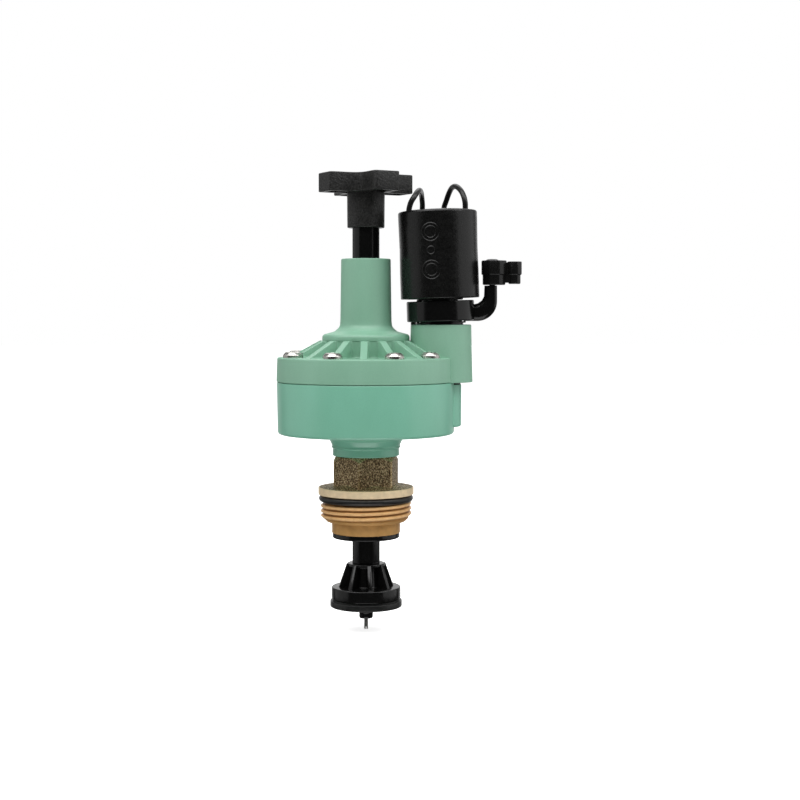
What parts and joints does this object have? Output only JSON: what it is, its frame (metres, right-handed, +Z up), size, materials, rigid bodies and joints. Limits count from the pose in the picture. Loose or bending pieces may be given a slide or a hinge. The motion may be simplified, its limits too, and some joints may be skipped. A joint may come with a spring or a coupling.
{
  "type": "irrigation zone valve actuator",
  "caption": "Solenoid-piloted diaphragm actuator with flow-control knob, bleed arm and brass screw-in adapter for an irrigation valve body.",
  "frame": {"origin": "on the main axis, in the plane of the brass flange's underside, where it meets the valve body", "axes": "+Z up along the piston and flow-control stem; +X towards the solenoid column; the front is -Y"},
  "size_m": [0.1028, 0.075, 0.1913],
  "materials": {
    "green_cover": "moulded glass-filled nylon, satin",
    "green_body": "moulded glass-filled nylon, satin",
    "black_plastic": "fine textured",
    "black_gloss": "polished moulding",
    "rubber": "smooth",
    "brass": "sand cast hex, machined flange and thread",
    "steel": "bright stainless",
    "copper": "enamelled wire and tinned strands",
    "natural_plastic": "natural acetal",
    "lead_insulation": "soft PVC, satin"
  },
  "bodies": {
    "housing": {"adapter_o_ring": "rubber", "bare_end_left": "copper", "bare_end_right": "copper", "bonnet": "green_cover", "bonnet_screw_1": "steel", "bonnet_screw_2": "steel", "bonnet_screw_3": "steel", "bonnet_screw_4": "steel", "bonnet_screw_5": "steel", "bonnet_screw_6": "steel", "bonnet_screw_7": "steel", "bonnet_screw_8": "steel", "brass_adapter": "brass", "coil_bobbin": "natural_plastic", "coil_winding": "copper", "core_tube": "steel", "diaphragm": "rubber", "flange_o_ring": "rubber", "hank_tie": "black_plastic", "lead_hank": "lead_insulation", "lead_wire_left": "lead_insulation", "lead_wire_right": "lead_insulation", "lower_body": "green_body", "plunger_spring": "steel", "pole_piece": "steel", "return_spring": "steel", "rod_guide_bush": "black_plastic", "solenoid_adapter": "black_gloss", "solenoid_base": "black_plastic", "solenoid_cover": "black_plastic", "solenoid_o_ring": "rubber"},
    "piston": {"piston_rod": "black_gloss", "lower_plate": "steel", "upper_plate": "steel", "diaphragm_nut": "steel", "seat_cage": "black_gloss", "seat_washer": "rubber", "seat_screw": "black_plastic", "metering_pin": "steel"},
    "flow_lift": {"thrust_pad": "natural_plastic"},
    "flow_knob": {"flow_knob": "black_plastic", "flow_stem": "black_gloss", "knob_screw": "steel", "stem_o_ring": "rubber"},
    "plunger": {"plunger": "steel", "plunger_seal": "rubber"},
    "bleed_arm": {"bleed_arm": "black_gloss", "bleed_o_ring": "rubber"},
    "bleed_handle": {"bleed_handle": "black_plastic", "bleed_stem": "steel"}
  },
  "joints": [
    {"name": "piston_lift", "type": "slide", "parent": "housing", "child": "piston", "axis": [0, 0, 1], "range_m": [0, 0.0065], "stiffness_N_per_m": 400, "springref_m": -0.01, "deforming": ["diaphragm", "return_spring"]},
    {"name": "flow_lift", "type": "slide", "parent": "housing", "child": "flow_lift", "axis": [0, 0, 1], "range_m": [-0.004, 0]},
    {"name": "flow_turn", "type": "hinge", "parent": "flow_lift", "child": "flow_knob", "pos_m": [0, 0, 0.13], "axis": [0, 0, 1], "range_deg": [-720, 0]},
    {"name": "plunger_lift", "type": "slide", "parent": "housing", "child": "plunger", "axis": [-0.0323, 0, 0.9995], "range_m": [0, 0.0022], "stiffness_N_per_m": 200, "springref_m": -0.003, "deforming": ["plunger_spring"]},
    {"name": "bleed_swing", "type": "hinge", "parent": "housing", "child": "bleed_arm", "pos_m": [0.0315, 0, 0.0712], "axis": [-0.0323, 0, 0.9995], "range_deg": [-90, 0]},
    {"name": "bleed_turn", "type": "hinge", "parent": "bleed_arm", "child": "bleed_handle", "pos_m": [0.053, 0, 0.0926], "axis": [0, 0, 1], "range_deg": [-90, 0]}
  ],
  "couplings": [
    {"joint": "flow_turn", "follows": "flow_lift", "rad_per_m": 3141.6}
  ]
}
